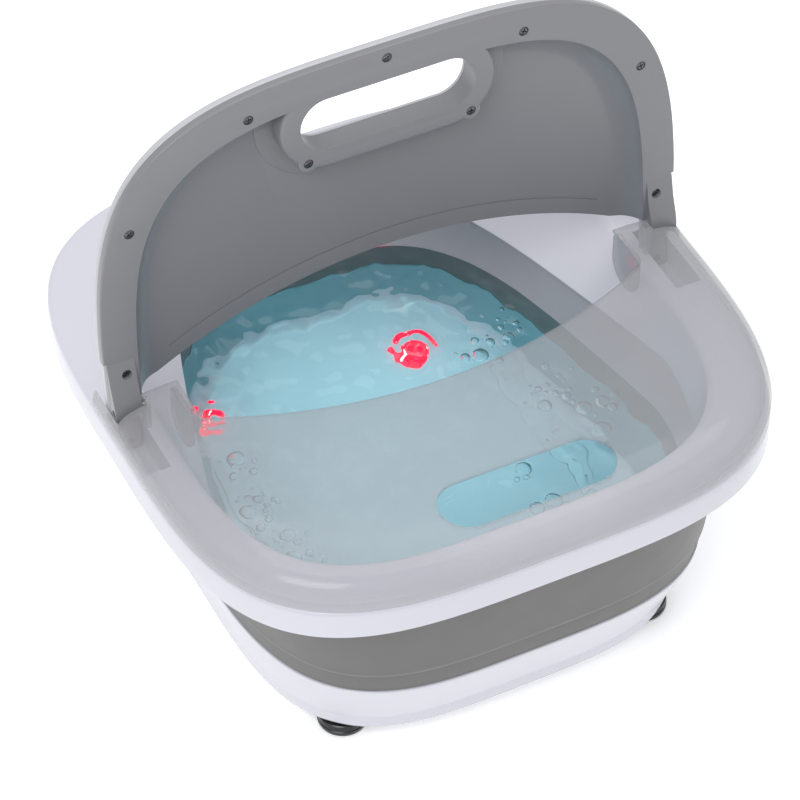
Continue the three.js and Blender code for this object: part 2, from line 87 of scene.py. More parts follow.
# ---------- sizes of the pieces' own shapes ----------

ROUNDNESS = 3.6  # exponent of every plan outline
SEGMENTS = 208
SOLE_X, SOLE_FRONT, SOLE_REAR = 149.0, 168.0, 175.0
INNER_X, INNER_FRONT, INNER_REAR = 167.5, 170.0, 188.0
FUNNEL_X, FUNNEL_FRONT, FUNNEL_REAR, FUNNEL_TAPER = 158.5, 166.0, 184.0, 0.0017  # the collar's lower edge
TAPER_START = -60.0  # behind this the tub's inside grows narrower
SKIRT_HEIGHT = 21.7
COLLAR_HEIGHT = 36.0
WALL = 2.8
WALL_START, WALL_RISE = 16.0, 54.0  # where the base's wall starts to lean, and how far it rises
GAP = 0.4
FLOOR_TOP = 31.0
FLOOR_THICKNESS = 2.4
COVER_WALL = 2.3
WATER_LEVEL = 95.0
WATER_X, WATER_FRONT, WATER_REAR, WATER_TAPER = 156.4, 168.0, 167.5, 0.00127

LID_LEAN = math.radians(4.33)
LID_FACE = -4.1
LID_THICKNESS = 12.0
LID_SPLIT = LID_FACE - 6
LEG_INNER, LEG_OUTER, TAIL_OUTER = 178.5, 196.9, 194.0
TAIL_LENGTH = 37.0
ARC_RADIUS, ARC_APEX = 345.0, 66.0
HOLE_LENGTH, HOLE_HEIGHT, HOLE_CENTRE = 118.0, 37.0, 166.0

PAN_INSET, PAN_FLOOR_INSET, PAN_DEPTH, PAN_WALL = 23.0, 38.5, 14.0, 1.8
EDGE_DROP = 18.0  # how far the lid's free edge hangs below the arc
EAR_END = 6.5  # the rear end of the cover's ears
PIN_END = 174.3  # how far a hinge pin's inner end is from the middle
BOSS_X, BOSS_Y = 55.0, 137.5  # the two screws in the raised ring
EDGE_LOWEST = 4.8  # the free edge goes no lower than this beside the legs
PAN_POINTS = 160  # points round the pan's outline


# ---------- meshes ----------


def mesh(name, vertices, faces, material=None, smooth_angle=32):
    """A mesh object from points in millimetres."""
    data = bpy.data.meshes.new(name)
    data.from_pydata([tuple(p) for p in np.asarray(vertices, float) * MM], [], faces)
    data.validate()
    obj = bpy.data.objects.new(name, data)
    bpy.context.scene.collection.objects.link(obj)
    if material:
        data.materials.append(material)
    shade(obj, smooth_angle)
    return obj


def shade(obj, angle=32):
    """Smooth shading, with edges sharper than the angle kept sharp."""
    obj.data.shade_smooth()
    obj.data.set_sharp_from_angle(angle=math.radians(angle))


def settle(obj):
    """Applies the object's modifiers."""
    bpy.context.view_layer.update()
    graph = bpy.context.evaluated_depsgraph_get()
    applied = bpy.data.meshes.new_from_object(obj.evaluated_get(graph))
    obj.modifiers.clear()
    obj.data = applied
    return obj


def face_outward(data):
    """Turns every face's normal outward."""
    work = bmesh.new()
    work.from_mesh(data)
    bmesh.ops.recalc_face_normals(work, faces=work.faces)
    work.to_mesh(data)
    work.free()


def combine(obj, tools, operation, angle=32):
    """Joins or cuts with each tool in turn, and removes the tools."""
    for tool in tools:
        modifier = obj.modifiers.new("combine", "BOOLEAN")
        modifier.object = tool
        modifier.operation = operation
        modifier.solver = "MANIFOLD"
    settle(obj)
    for tool in tools:
        bpy.data.objects.remove(tool)
    shade(obj, angle)
    return obj


def outline(half_x, front, rear, count=SEGMENTS, taper=0.0):
    """Points round a rounded oblong, whose front and rear depths may differ and which may narrow to the rear."""
    turn = np.arange(count) * 2 * math.pi / count
    c, s = np.cos(turn), np.sin(turn)
    power = 2 / ROUNDNESS
    y = np.where(s < 0, front, rear) * np.sign(s) * np.abs(s) ** power
    width = half_x * (1 - taper * np.maximum(y - TAPER_START, 0))
    return np.stack([width * np.sign(c) * np.abs(c) ** power, y], 1)


def soften(stations, radius, closed=True, steps=4):
    """Rounds a section's corners. A station is half x, front, rear, z and, when given, its own radius and taper."""
    points = [np.array([*s[:4], s[5] if len(s) > 5 else 0.0], float) for s in stations]
    radii = [s[4] if len(s) > 4 else radius for s in stations]
    result = []
    for i, (point, r) in enumerate(zip(points, radii)):
        if r == 0 or (not closed and i in (0, len(points) - 1)):
            result.append(point)
            continue
        before, after = points[i - 1], points[(i + 1) % len(points)]
        start = point + (before - point) * min(r / np.linalg.norm((before - point)[[0, 3]]), 0.48)
        end = point + (after - point) * min(r / np.linalg.norm((after - point)[[0, 3]]), 0.48)
        for t in np.linspace(0, 1, steps + 1):
            result.append((1 - t) ** 2 * start + 2 * t * (1 - t) * point + t**2 * end)
    return result


def loft(name, stations, material=None, closed=True, angle=32, count=SEGMENTS):
    """Skin over softened stations. Closed makes a ring; otherwise both ends are capped."""
    rings = [np.column_stack([outline(*s[:3], count, s[4]), np.full(count, s[3])]) for s in stations]
    vertices = np.concatenate(rings)
    faces = []
    rows = len(stations) if closed else len(stations) - 1
    for row in range(rows):
        a, b = row * count, ((row + 1) % len(stations)) * count
        for i in range(count):
            j = (i + 1) % count
            faces.append((a + i, a + j, b + j, b + i))
    if not closed:
        last = (len(stations) - 1) * count
        faces.append(tuple(range(count))[::-1])
        faces.append(tuple(last + i for i in range(count)))
    return mesh(name, vertices, faces, material, angle)


def even(half_x, half_y, z, *radius):
    """A station whose front and rear depths are the same."""
    return (half_x, half_y, half_y, z, *radius)


def sole(inset, z, *radius):
    """The base's lower outline, inset."""
    return (SOLE_X - inset, SOLE_FRONT - inset, SOLE_REAR - inset, z, *radius)


def stadium(length, height, centre_y=0.0, steps=24):
    """Points round a slot with round ends, counter-clockwise."""
    r, straight = height / 2, (length - height) / 2
    points = []
    for side in (1, -1):
        for i in range(steps + 1):
            a = -math.pi / 2 + math.pi * i / steps
            points.append((side * (straight + r * math.cos(a)), centre_y + side * r * math.sin(a)))
    return points


def circle(radius, x=0.0, y=0.0, steps=32):
    turns = [2 * math.pi * i / steps for i in range(steps)]
    return [(x + radius * math.cos(a), y + radius * math.sin(a)) for a in turns]


def plate(name, outlines, low, high, round_edge=0.0, steps=3):
    """A flat plate between two heights. The first outline is its edge and the others are holes."""
    curve = bpy.data.curves.new(name, "CURVE")
    curve.dimensions = "2D"
    curve.fill_mode = "BOTH"
    for points in outlines:
        spline = curve.splines.new("POLY")
        spline.points.add(len(points) - 1)
        for target, (x, y) in zip(spline.points, points):
            target.co = (x * MM, y * MM, 0, 1)
        spline.use_cyclic_u = True
    curve.extrude = (high - low) / 2 * MM - round_edge * MM
    curve.bevel_depth = round_edge * MM
    curve.bevel_resolution = steps
    curve.offset = -round_edge * MM
    source = bpy.data.objects.new(name, curve)
    bpy.context.scene.collection.objects.link(source)
    bpy.context.view_layer.update()
    data = bpy.data.meshes.new_from_object(source.evaluated_get(bpy.context.evaluated_depsgraph_get()))
    bpy.data.objects.remove(source)
    bpy.data.curves.remove(curve)
    obj = bpy.data.objects.new(name, data)
    bpy.context.scene.collection.objects.link(obj)
    work = bmesh.new()
    work.from_mesh(data)
    bmesh.ops.remove_doubles(work, verts=work.verts, dist=0.01 * MM)
    bmesh.ops.dissolve_degenerate(work, edges=work.edges, dist=0.005 * MM)
    bmesh.ops.translate(work, verts=work.verts, vec=(0, 0, (low + high) / 2 * MM))
    bmesh.ops.recalc_face_normals(work, faces=work.faces)
    work.to_mesh(data)
    work.free()
    shade(obj)
    return obj


def lathe(name, profile, material=None, count=48, angle=32):
    """Turns a profile of (radius, z) round Z. It starts and ends on the axis."""
    vertices, faces, rows = [], [], []
    for r, z in profile:
        if r == 0:
            rows.append([len(vertices)] * count)
            vertices.append((0, 0, z))
            continue
        rows.append(list(range(len(vertices), len(vertices) + count)))
        turns = [2 * math.pi * i / count for i in range(count)]
        vertices += [(r * math.cos(a), r * math.sin(a), z) for a in turns]
    for a, b in zip(rows, rows[1:]):
        for i in range(count):
            j = (i + 1) % count
            corners = list(dict.fromkeys((a[i], a[j], b[j], b[i])))
            if len(corners) > 2:
                faces.append(tuple(corners))
    return mesh(name, vertices, faces, material, angle)


def block(name, width, depth, height, x, y, z):
    """A box centred on a point."""
    corners = [(sx, sy, sz) for sx in (-0.5, 0.5) for sy in (-0.5, 0.5) for sz in (-0.5, 0.5)]
    vertices = [(x + sx * width, y + sy * depth, z + sz * height) for sx, sy, sz in corners]
    faces = [(0, 1, 3, 2), (4, 6, 7, 5), (0, 4, 5, 1), (2, 3, 7, 6), (0, 2, 6, 4), (1, 5, 7, 3)]
    return mesh(name, vertices, faces)


def rod(name, radius, length, x, y, z, count=32):
    """A round bar along X, centred on a point."""
    obj = lathe(name, [(0, -length / 2), (radius, -length / 2), (radius, length / 2), (0, length / 2)], count=count)
    turned = Matrix.Translation(Vector((x, y, z)) * MM) @ Matrix.Rotation(math.pi / 2, 4, "Y")
    obj.data.transform(turned)
    return obj


# ---------- materials ----------


def add(tree, kind, settings=None, **inputs):
    """Adds a shader node, and sets its properties and inputs. A node given as an input is linked."""
    node = tree.nodes.new(kind)
    for key, value in (settings or {}).items():
        setattr(node, key, value)
    for key, value in inputs.items():
        socket = node.inputs[key.replace("_", " ")]
        if isinstance(value, bpy.types.NodeSocket):
            tree.links.new(value, socket)
        else:
            socket.default_value = value
    return node


def blank(name):
    """A new material's tree, its Principled shader and object coordinates."""
    material = bpy.data.materials.new(name)
    material.use_nodes = True
    tree = material.node_tree
    shader = tree.nodes["Principled BSDF"]
    place = add(tree, "ShaderNodeTexCoord").outputs["Object"]
    return material, tree, shader, place


def tint(tree, factor, dark, light):
    """A colour between two, by a factor from 0 to 1."""
    ramp = add(tree, "ShaderNodeMix", {"data_type": "RGBA"})
    tree.links.new(factor, ramp.inputs["Factor"])
    ramp.inputs["A"].default_value = (*dark, 1)
    ramp.inputs["B"].default_value = (*light, 1)
    return ramp.outputs["Result"]


def spread(tree, value, low, high):
    """A 0 to 1 value laid over another range."""
    return add(tree, "ShaderNodeMapRange", Value=value, To_Min=low, To_Max=high).outputs["Result"]


def moulded(name, color, roughness, grain=1400, depth=0.012, drift=0.05, flow=9, **sockets):
    """Moulded plastic or rubber: a faint drift of tone, uneven gloss and a fine grain."""
    material, tree, shader, place = blank(name)
    cloud = add(tree, "ShaderNodeTexNoise", Vector=place, Scale=flow, Detail=3.0).outputs["Fac"]
    color = np.array(color)
    shade_of = tint(tree, cloud, color * (1 - drift), np.minimum(color * (1 + drift), 1))
    tree.links.new(shade_of, shader.inputs["Base Color"])
    smear = add(tree, "ShaderNodeTexNoise", Vector=place, Scale=flow * 6, Detail=4.0).outputs["Fac"]
    tree.links.new(spread(tree, smear, roughness * 0.8, roughness * 1.2), shader.inputs["Roughness"])
    fine = add(tree, "ShaderNodeTexNoise", Vector=place, Scale=grain, Detail=2.0).outputs["Fac"]
    bump = add(tree, "ShaderNodeBump", Height=fine, Strength=0.25, Distance=depth * MM)
    tree.links.new(bump.outputs["Normal"], shader.inputs["Normal"])
    for key, value in sockets.items():
        shader.inputs[key.replace("_", " ")].default_value = value
    return material


def let_light_through(tree, shader, color):
    """Shadow rays pass straight through, tinted, so that what lies below is lit."""
    through = add(tree, "ShaderNodeBsdfTransparent", Color=(*color, 1))
    mix = add(tree, "ShaderNodeMixShader", Fac=add(tree, "ShaderNodeLightPath").outputs["Is Shadow Ray"])
    tree.links.new(shader.outputs["BSDF"], mix.inputs[1])
    tree.links.new(through.outputs["BSDF"], mix.inputs[2])
    tree.links.new(mix.outputs["Shader"], tree.nodes["Material Output"].inputs["Surface"])


def make_smoky():
    """Clear grey-tinted plastic: it lets light straight through, and hides more where it turns away."""
    material, tree, shader, place = blank("smoky_clear")
    cloud = add(tree, "ShaderNodeTexNoise", Vector=place, Scale=7.0, Detail=2.0).outputs["Fac"]
    tree.links.new(tint(tree, cloud, (0.40, 0.40, 0.42), (0.44, 0.44, 0.46)), shader.inputs["Base Color"])
    turned = add(tree, "ShaderNodeLayerWeight", Blend=0.35).outputs["Facing"]
    tree.links.new(spread(tree, turned, 0.27, 0.80), shader.inputs["Alpha"])
    shader.inputs["Roughness"].default_value = 0.12
    shader.inputs["IOR"].default_value = 1.49
    let_light_through(tree, shader, (0.95, 0.95, 0.96))
    return material


def make_water():
    """Blue-green water that bends what is seen through it. Its tint drifts between lighter and darker cyan patches,
    which paint in the play of light on the ripples.
    """
    material, tree, shader, place = blank("water")
    # painted light: lighter and darker cyan patches for the caustics and reflections of the ripples
    cloud = add(tree, "ShaderNodeTexNoise", Vector=place, Scale=14.0, Detail=4.0, Distortion=0.6).outputs["Fac"]
    tree.links.new(tint(tree, cloud, (0.50, 0.90, 0.97), (0.62, 0.96, 1.0)), shader.inputs["Base Color"])
    shader.inputs["Roughness"].default_value = 0.0
    shader.inputs["IOR"].default_value = 1.33
    shader.inputs["Transmission Weight"].default_value = 1.0
    let_light_through(tree, shader, (0.62, 0.98, 1.0))
    return material


def make_bubble():
    """Air inside water: its index is below one."""
    material, tree, shader, place = blank("bubble")
    cloud = add(tree, "ShaderNodeTexNoise", Vector=place, Scale=200.0).outputs["Fac"]
    tree.links.new(tint(tree, cloud, (0.86, 0.95, 0.97), (0.97, 1, 1)), shader.inputs["Base Color"])
    shader.inputs["Roughness"].default_value = 0.02
    shader.inputs["IOR"].default_value = 0.8
    shader.inputs["Transmission Weight"].default_value = 1.0
    return material


def make_lamp():
    """Clear red plastic, lit from below, with darker patches in its glow. Pale glints painted into its colour and glow
    stand for light caught by the bubbles and ripples above it.
    """
    material, tree, shader, place = blank("red_lens")
    cloud = add(tree, "ShaderNodeTexNoise", Vector=place, Scale=150.0, Detail=2.0).outputs["Fac"]
    deep = add(tree, "ShaderNodeMapRange", Value=cloud, From_Min=0.32, From_Max=0.40).outputs["Result"]
    # painted highlights: pale glints for light caught by the bubbles and ripples over the lamp
    glint = add(tree, "ShaderNodeMapRange", Value=cloud, From_Min=0.655, From_Max=0.68).outputs["Result"]
    red = tint(tree, deep, (0.16, 0.0, 0.01), (1.0, 0.002, 0.03))
    red_with_painted_glints = add(tree, "ShaderNodeMix", {"data_type": "RGBA"})
    tree.links.new(glint, red_with_painted_glints.inputs["Factor"])
    tree.links.new(red, red_with_painted_glints.inputs["A"])
    red_with_painted_glints.inputs["B"].default_value = (1.0, 0.75, 0.72, 1)
    tree.links.new(red_with_painted_glints.outputs["Result"], shader.inputs["Base Color"])
    tree.links.new(red_with_painted_glints.outputs["Result"], shader.inputs["Emission Color"])
    shader.inputs["Emission Strength"].default_value = 1.7
    shader.inputs["Roughness"].default_value = 0.12
    shader.inputs["Coat Weight"].default_value = 0.6
    return material


def make_steel(name, color, roughness):
    """Bare metal with a fine grain in its tone and gloss."""
    material, tree, shader, place = blank(name)
    grain = add(tree, "ShaderNodeTexNoise", Vector=place, Scale=700.0, Detail=3.0).outputs["Fac"]
    color = np.array(color)
    tree.links.new(tint(tree, grain, color * 0.85, color), shader.inputs["Base Color"])
    tree.links.new(spread(tree, grain, roughness * 0.7, roughness * 1.3), shader.inputs["Roughness"])
    shader.inputs["Metallic"].default_value = 1.0
    return material


WHITE = moulded("white_plastic", (0.62, 0.62, 0.68), 0.24, drift=0.015, Coat_Weight=0.25, Coat_Roughness=0.12)
SILICONE = moulded("silicone", (0.125, 0.122, 0.12), 0.48, grain=900, depth=0.03, drift=0.05, Sheen_Weight=0.15)
LID_GREY = moulded("lid_grey", (0.225, 0.225, 0.24), 0.34, drift=0.04, Coat_Weight=0.1)
# a paler copy of the silicone: painted light, for the light that falls on the bellows' inner wall from above
SILICONE_PAINTED_LIT = moulded("silicone_painted_lit", (0.46, 0.45, 0.47), 0.5, grain=900, depth=0.03, drift=0.05)
# grey silicone under the water, with the cyan of light scattered in the water painted into its colour
SILICONE_PAINTED_WATER_LIGHT = moulded("silicone_painted_water_light", (0.22, 0.37, 0.42), 0.5, grain=900, depth=0.03, drift=0.05)
LID_BACK = moulded("lid_back_grey", (0.50, 0.50, 0.53), 0.30, drift=0.03, Coat_Weight=0.1)
RUBBER = moulded("foot_rubber", (0.006, 0.006, 0.007), 0.28, grain=500, depth=0.03, drift=0.3)
DARK = moulded("dark_plastic", (0.03, 0.03, 0.034), 0.5, depth=0.02, drift=0.15)
GLOSS_BLACK = moulded("black_plastic", (0.008, 0.008, 0.011), 0.10, depth=0.004, drift=0.2)
BUTTON = moulded("button_grey", (0.46, 0.47, 0.50), 0.38, drift=0.04)
BOARD = moulded("circuit_board", (0.01, 0.10, 0.04), 0.4, grain=300, drift=0.3, flow=60)
TUBE = moulded("tube", (0.62, 0.65, 0.66), 0.3, Alpha=0.6)
STEEL = make_steel("steel", (0.62, 0.61, 0.60), 0.30)
SCREW = make_steel("screw_steel", (0.16, 0.16, 0.165), 0.34)
ALUMINIUM = make_steel("heater_aluminium", (0.6, 0.6, 0.62), 0.42)
SMOKY = make_smoky()
WATER = make_water()
BUBBLE = make_bubble()
LAMP = make_lamp()

BY_SLOT = {
    "white_plastic": WHITE, "silicone": SILICONE, "lid_grey": LID_GREY, "lid_back_grey": LID_BACK,
    "foot_rubber": RUBBER, "dark_plastic": DARK, "black_plastic": GLOSS_BLACK, "button_grey": BUTTON,
    "circuit_board": BOARD, "tube": TUBE, "steel": STEEL, "heater_aluminium": ALUMINIUM,
    "smoky_clear": SMOKY, "red_lens": LAMP,
}


def paint_frame():
    """Every CAD node gets the material of its slot."""
    for entry in frame["record"]["subparts"]:
        data = frame["nodes"][entry["node"]].data
        data.materials.clear()
        data.materials.append(BY_SLOT[entry["material_slot"]])
        shade(frame["nodes"][entry["node"]])


def stand_in(obj, body, node, material=None):
    """obj rides on a body in place of a CAD node."""
    if material:
        obj.data.materials.clear()
        obj.data.materials.append(material)
    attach(obj, body)
    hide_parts(node)
    return obj


# ---------- base ----------


def make_base_shell():
    lip = BASE_TOP - 1.6
    stations = [
        sole(7, 10.4, 0),
        sole(1.2, 11.2, 4),
        sole(-1.6, 26, 1.0),
        sole(-2.4, 26.8, 0.6),
        even(BASE_X, BASE_Y, lip, 1),
        even(BASE_X, BASE_Y, BASE_TOP, 1.2),
        even(BASE_X - WALL, BASE_Y - WALL, BASE_TOP, 0.8),
        sole(WALL, 17, 3),
        sole(WALL + 4, 12.8, 1),
        sole(WALL + 7, 12.6, 0.4),
        sole(WALL + 7, 10.4, 0.4),
    ]
    shell = loft("base_shell_looks", soften(stations, 1))
    panel_low, panel_high = extent("control_panel_bezel")
    gland_low, gland_high = extent("cord_gland")
    tilt = math.atan((BASE_Y - SOLE_REAR) / WALL_RISE)
    panel_length, panel_height = panel_high[0] - panel_low[0], 28.0
    window = plate("window", [stadium(panel_length - 8, panel_height - 8)], -8, 12)
    window.data.transform(wall_place(0, (panel_low[2] + panel_high[2]) / 2, tilt))
    gland_x, gland_z = (gland_low[0] + gland_high[0]) / 2, (gland_low[2] + gland_high[2]) / 2
    port = plate("port", [circle(7)], -12, 12)
    port.data.transform(wall_place(gland_x, gland_z, tilt))
    combine(shell, [window, port], "DIFFERENCE")
    return stand_in(shell, "base", "base_shell", WHITE)


def wall_place(x, z, tilt):
    """Where a piece that stands square to the leaning rear wall goes."""
    share = (z - WALL_START) / (BASE_TOP - WALL_START)
    half_x = SOLE_X + (BASE_X - SOLE_X) * share
    half_y = SOLE_REAR + (BASE_Y - SOLE_REAR) * share
    y = half_y * (1 - abs(x / half_x) ** ROUNDNESS) ** (1 / ROUNDNESS)
    return Matrix.Translation(Vector((x, y, z)) * MM) @ Matrix.Rotation(-math.pi / 2 - tilt, 4, "X")


LINER_INNER = [
    (150.5, 165.5, 165.5, BASE_TOP - 0.2, 0.8, 0.0012),
    (146.0, 162.5, 163.0, BASE_TOP - 6, 4, 0.0011),
    (134.2, 156.0, 156.5, FLOOR_TOP + 10, 5, 0.001),
    (131.0, 153.5, 154.0, FLOOR_TOP + 2.8, 3, 0.001),
    (126.0, 149.0, 150.0, FLOOR_TOP, 3, 0.001),
]


def make_wet_liner():
    under = FLOOR_TOP - FLOOR_THICKNESS
    outer = [
        even(110, 136, under, 0),
        even(127, 153, under, 2),
        even(137, 163, under + 12, 6),
        even(151, 178.5, BASE_TOP - 4, 0.6),
        even(155.6, 183.1, BASE_TOP - 3, 0.6),
        even(155.6, 183.1, BASE_TOP - 0.2, 0.6),
    ]
    section = [*outer, *LINER_INNER, even(110, 136, FLOOR_TOP, 0)]
    liner = loft("wet_liner_looks", soften(section, 2, closed=False), closed=False)
    return stand_in(liner, "base", "wet_liner", WHITE)


def make_wall_skin_painted_water_light():
    """The grey silicone skin on the wet liner's wall, above its white floor. Its teal colour is the grey with the cyan
    of light scattered in the water painted in.
    """
    wall = [s for s in soften(LINER_INNER, 2, closed=False) if s[3] > FLOOR_TOP + 9.5]
    grow = np.array([1, 1, 1, 0, 0])
    painted_skin = loft("wall_skin_painted_water_light", [s + grow * 0.1 for s in wall] + [s - grow * 0.9 for s in reversed(wall)], SILICONE_PAINTED_WATER_LIGHT)
    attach(painted_skin, "base")


def make_foot(side):
    """A black foot with a grooved edge and a slightly hollow sole."""
    low, high = extent(f"{side}_foot")
    r, top = (high[0] - low[0]) / 2, high[2]
    profile = [
        (0, 0.9), (r - 7, 0.9), (r - 5.5, 0), (r - 2.2, 0), (r - 0.6, 0.7), (r, 2.2), (r, 4.2), (r - 0.5, 4.6),
        (r - 0.5, 5.2), (r - 0.1, 5.6), (r - 0.4, top - 0.6), (r - 1.2, top), (0, top),
    ]
    foot = lathe(f"{side}_foot_looks", profile, count=64)
    foot.data.transform(Matrix.Translation(Vector(((low[0] + high[0]) / 2, (low[1] + high[1]) / 2, 0)) * MM))
    return stand_in(foot, "base", f"{side}_foot", RUBBER)


def make_lamp_lens(side):
    low, high = extent(f"{side}_lamp_lens")
    r = (high[0] - low[0]) / 2
    profile = [(0, 0), (r, 0), (r, 2.2), (r - 0.8, 3)]
    profile += [((r - 1) * math.cos(a), 3 + 6.8 * math.sin(a)) for a in np.linspace(0.1, math.pi / 2, 9)[:-1]]
    lens = lathe(f"{side}_lamp_lens_looks", [*profile, (0, 9.8)], count=48)
    centre = Vector(((low[0] + high[0]) / 2, (low[1] + high[1]) / 2, low[2]))
    lens.data.transform(Matrix.Translation(centre * MM))
    return stand_in(lens, "base", f"{side}_lamp_lens", LAMP)


def make_air_strip(side):
    """A low bar with a row of air holes and a rounded top edge."""
    low, high = extent(f"{side}_air_strip")
    centre = (low + high) / 2
    width, length = high[0] - low[0], high[1] - low[1]
    holes = [circle(1.6, i * 20, 0, 16) for i in range(-3, 4)]
    strip = plate(f"{side}_air_strip_looks", [stadium(length, width), *holes], 0, high[2] - low[2], 0.7)
    move = Matrix.Translation(Vector((centre[0], centre[1], low[2])) * MM) @ Matrix.Rotation(math.pi / 2, 4, "Z")
    strip.data.transform(move)
    return stand_in(strip, "base", f"{side}_air_strip", WHITE)


# ---------- rim and bellows ----------


def make_rim():
    skirt_end, collar_end = RIM_TOP - SKIRT_HEIGHT, RIM_TOP - COLLAR_HEIGHT
    thick = 3
    stations = [
        even(RIM_X, RIM_Y, skirt_end, 1.0),
        even(RIM_X, RIM_Y, RIM_TOP, 4.2),
        (INNER_X, INNER_FRONT, INNER_REAR, RIM_TOP, 4.2),
        (FUNNEL_X, FUNNEL_FRONT, FUNNEL_REAR, collar_end, 1.2, FUNNEL_TAPER),
        (FUNNEL_X + thick, FUNNEL_FRONT + thick, FUNNEL_REAR + thick, collar_end, 1.2, FUNNEL_TAPER),
        (INNER_X + thick, INNER_FRONT + thick, INNER_REAR + thick, RIM_TOP - thick - 0.5, 2),
        even(RIM_X - thick, RIM_Y - thick, RIM_TOP - thick - 0.5, 2),
        even(RIM_X - thick, RIM_Y - thick, skirt_end, 1.0),
    ]
    rim = loft("rim_looks", soften(stations, 1, steps=6))
    blocks, pockets = [], []
    bottom, top = skirt_end, RIM_TOP - 0.8
    for side in (-1, 1):
        middle = side * (LEG_INNER + TAIL_OUTER) / 2
        blocks.append(block("wall", 22, 63, top - bottom, middle + side * 0.5, -7, (bottom + top) / 2))
        pockets.append(block("pocket", 18.1, 59.4, 30, middle, -7, bottom + 1.8 + 15))
    combine(rim, blocks, "UNION")
    combine(rim, pockets, "DIFFERENCE")
    return stand_in(rim, "rim_ring", "rim", WHITE)


def make_bellows():
    """The folding silicone wall: a narrow foot band, a rounded crease and a tall flaring band."""
    low, top = BELLOWS_LOW[2], BELLOWS_HIGH[2]
    x, y = BASE_X, BASE_Y
    outer = [
        even(x - 0.8, y - 0.8, low, 0.4),
        even(x - 0.2, y - 0.2, low + 14.5, 1.6),
        even(x + 2.2, y + 1.8, low + 16.4, 1.2),
        even(x + 3.2, y + 2.7, low + 18.6, 1.6),
        even(x + 3.4, y + 2.9, low + 22, 3),
        even(x + 6.2, y + 4.7, low + 42, 12),
        even(x + 10.5, y + 7.2, low + 67, 12),
        even(x + 13.2, y + 9.5, low + 84, 6),
        even(x + 13.2, y + 9.5, low + 92, 0.4),
        even(x + 15, y + 11.5, low + 92.4, 0.8),
        even(x + 15, y + 11.5, top, 0.8),
    ]
    thick = 2.4
    inner = [
        even(x + 13.2 - thick, y + 9.5 - thick, top, 0.6),
        even(x + 13.2 - thick, y + 9.5 - thick, low + 83, 6),
        (162.5, 174.0, 186.0, low + 66, 8, 0.0014),
        (158.5, 171.0, 178.0, low + 46, 10, 0.0013),
        (WATER_X, WATER_FRONT, WATER_REAR, WATER_LEVEL, 6, WATER_TAPER),
        (*LINER_INNER[0][:3], low, 0.4, LINER_INNER[0][5]),
    ]
    bellows = loft("bellows_looks", soften([*outer, *inner], 1, steps=5))
    stand_in(bellows, "base", "bellows", SILICONE)
    # a paler skin of the same silicone on the inner wall: painted light, for the light from above
    grow = np.array([1, 1, 1, 0, 0])
    wall = soften(inner[1:-1], 6, closed=False, steps=5)
    skin = [s + grow * 0.1 for s in wall] + [s - grow * 0.5 for s in reversed(wall)]
    painted_skin = loft("bellows_skin_painted_lit", skin, SILICONE_PAINTED_LIT)
    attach(painted_skin, "base")
    for piece in (bellows, painted_skin):
        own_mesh(piece)


# ---------- water ----------


def wave_height(points, rng):
    """Height of the water's ripples at each point, in millimetres: many small crossing waves."""
    height = np.zeros(len(points))
    for _ in range(70):
        length = 9 * 1.9 ** rng.uniform(0, 2.4)
        heading = rng.uniform(0, 2 * math.pi)
        along = points @ np.array([math.cos(heading), math.sin(heading)])
        height += 0.0046 * length * np.sin(2 * math.pi * along / length + rng.uniform(0, 2 * math.pi))
    for x, y, size, reach in RIPPLE_CENTRES:
        away = np.hypot(points[:, 0] - x, points[:, 1] - y)
        height += size * np.cos(away / 2.1) * np.exp(-((away / reach) ** 2))
    return height


RIPPLE_CENTRES = [
    (-111, 13, 0.5, 26), (-109, -17, 0.6, 24), (-116, -58, 0.6, 26), (-104, -78, 0.6, 26), (-60, -118, 0.5, 24),
    (-104, 62, 0.5, 18), (40, 62, 0.6, 20), (70, 40, 0.5, 22), (111, -7, 0.5, 26), (126, -38, 0.5, 24),
    (57, -101, 0.8, 16), (50, -67, 0.7, 14), (-20, -60, 0.3, 30), (110, 60, 0.5, 24), (-16, 77, 0.4, 30),
]


def make_water_body():
    """The water: a body that fills the tub up to a rippled surface."""
    rng = random.Random(7)
    count, rings = 420, 96
    edge = outline(WATER_X + 0.3, WATER_FRONT + 0.3, WATER_REAR + 0.3, count, WATER_TAPER)
    sizes = np.linspace(0, 1, rings + 1)[1:]
    top = np.concatenate([edge * s for s in sizes[::-1]])
    top = np.vstack([top, [[0, 0]]])
    calm = np.concatenate([np.full(count, min(1.0, (1 - s) * 14)) for s in sizes[::-1]] + [np.ones(1)])
    heights = WATER_LEVEL + wave_height(top, rng) * (0.35 + 0.65 * calm)
    vertices = [np.column_stack([top, heights])]
    faces = []
    for k in range(rings - 1):
        a, b = k * count, (k + 1) * count
        faces += [(a + i, a + (i + 1) % count, b + (i + 1) % count, b + i) for i in range(count)]
    centre, last = rings * count, (rings - 1) * count
    faces += [(last + i, last + (i + 1) % count, centre) for i in range(count)]
    overlap = 0.25
    grow = np.array([overlap, overlap, overlap, -overlap, 0])
    sides = [s + grow for s in soften(LINER_INNER, 2, closed=False)]
    start = len(top)
    for k, s in enumerate(sides):
        ring = outline(*s[:3], count, s[4])
        vertices.append(np.column_stack([ring, np.full(count, s[3])]))
        a = 0 if k == 0 else start + (k - 1) * count
        b = start + k * count
        faces += [(a + (i + 1) % count, a + i, b + i, b + (i + 1) % count) for i in range(count)]
    bottom = start + (len(sides) - 1) * count
    faces.append(tuple(bottom + i for i in reversed(range(count))))
    water = mesh("water", np.concatenate(vertices), faces, WATER, smooth_angle=60)
    return sink_with_rim(water)


def sink_with_rim(obj):
    """Contents of the tub, which ride on the base, each with a mesh of its own."""
    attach(obj, "base")
    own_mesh(obj)
    return obj


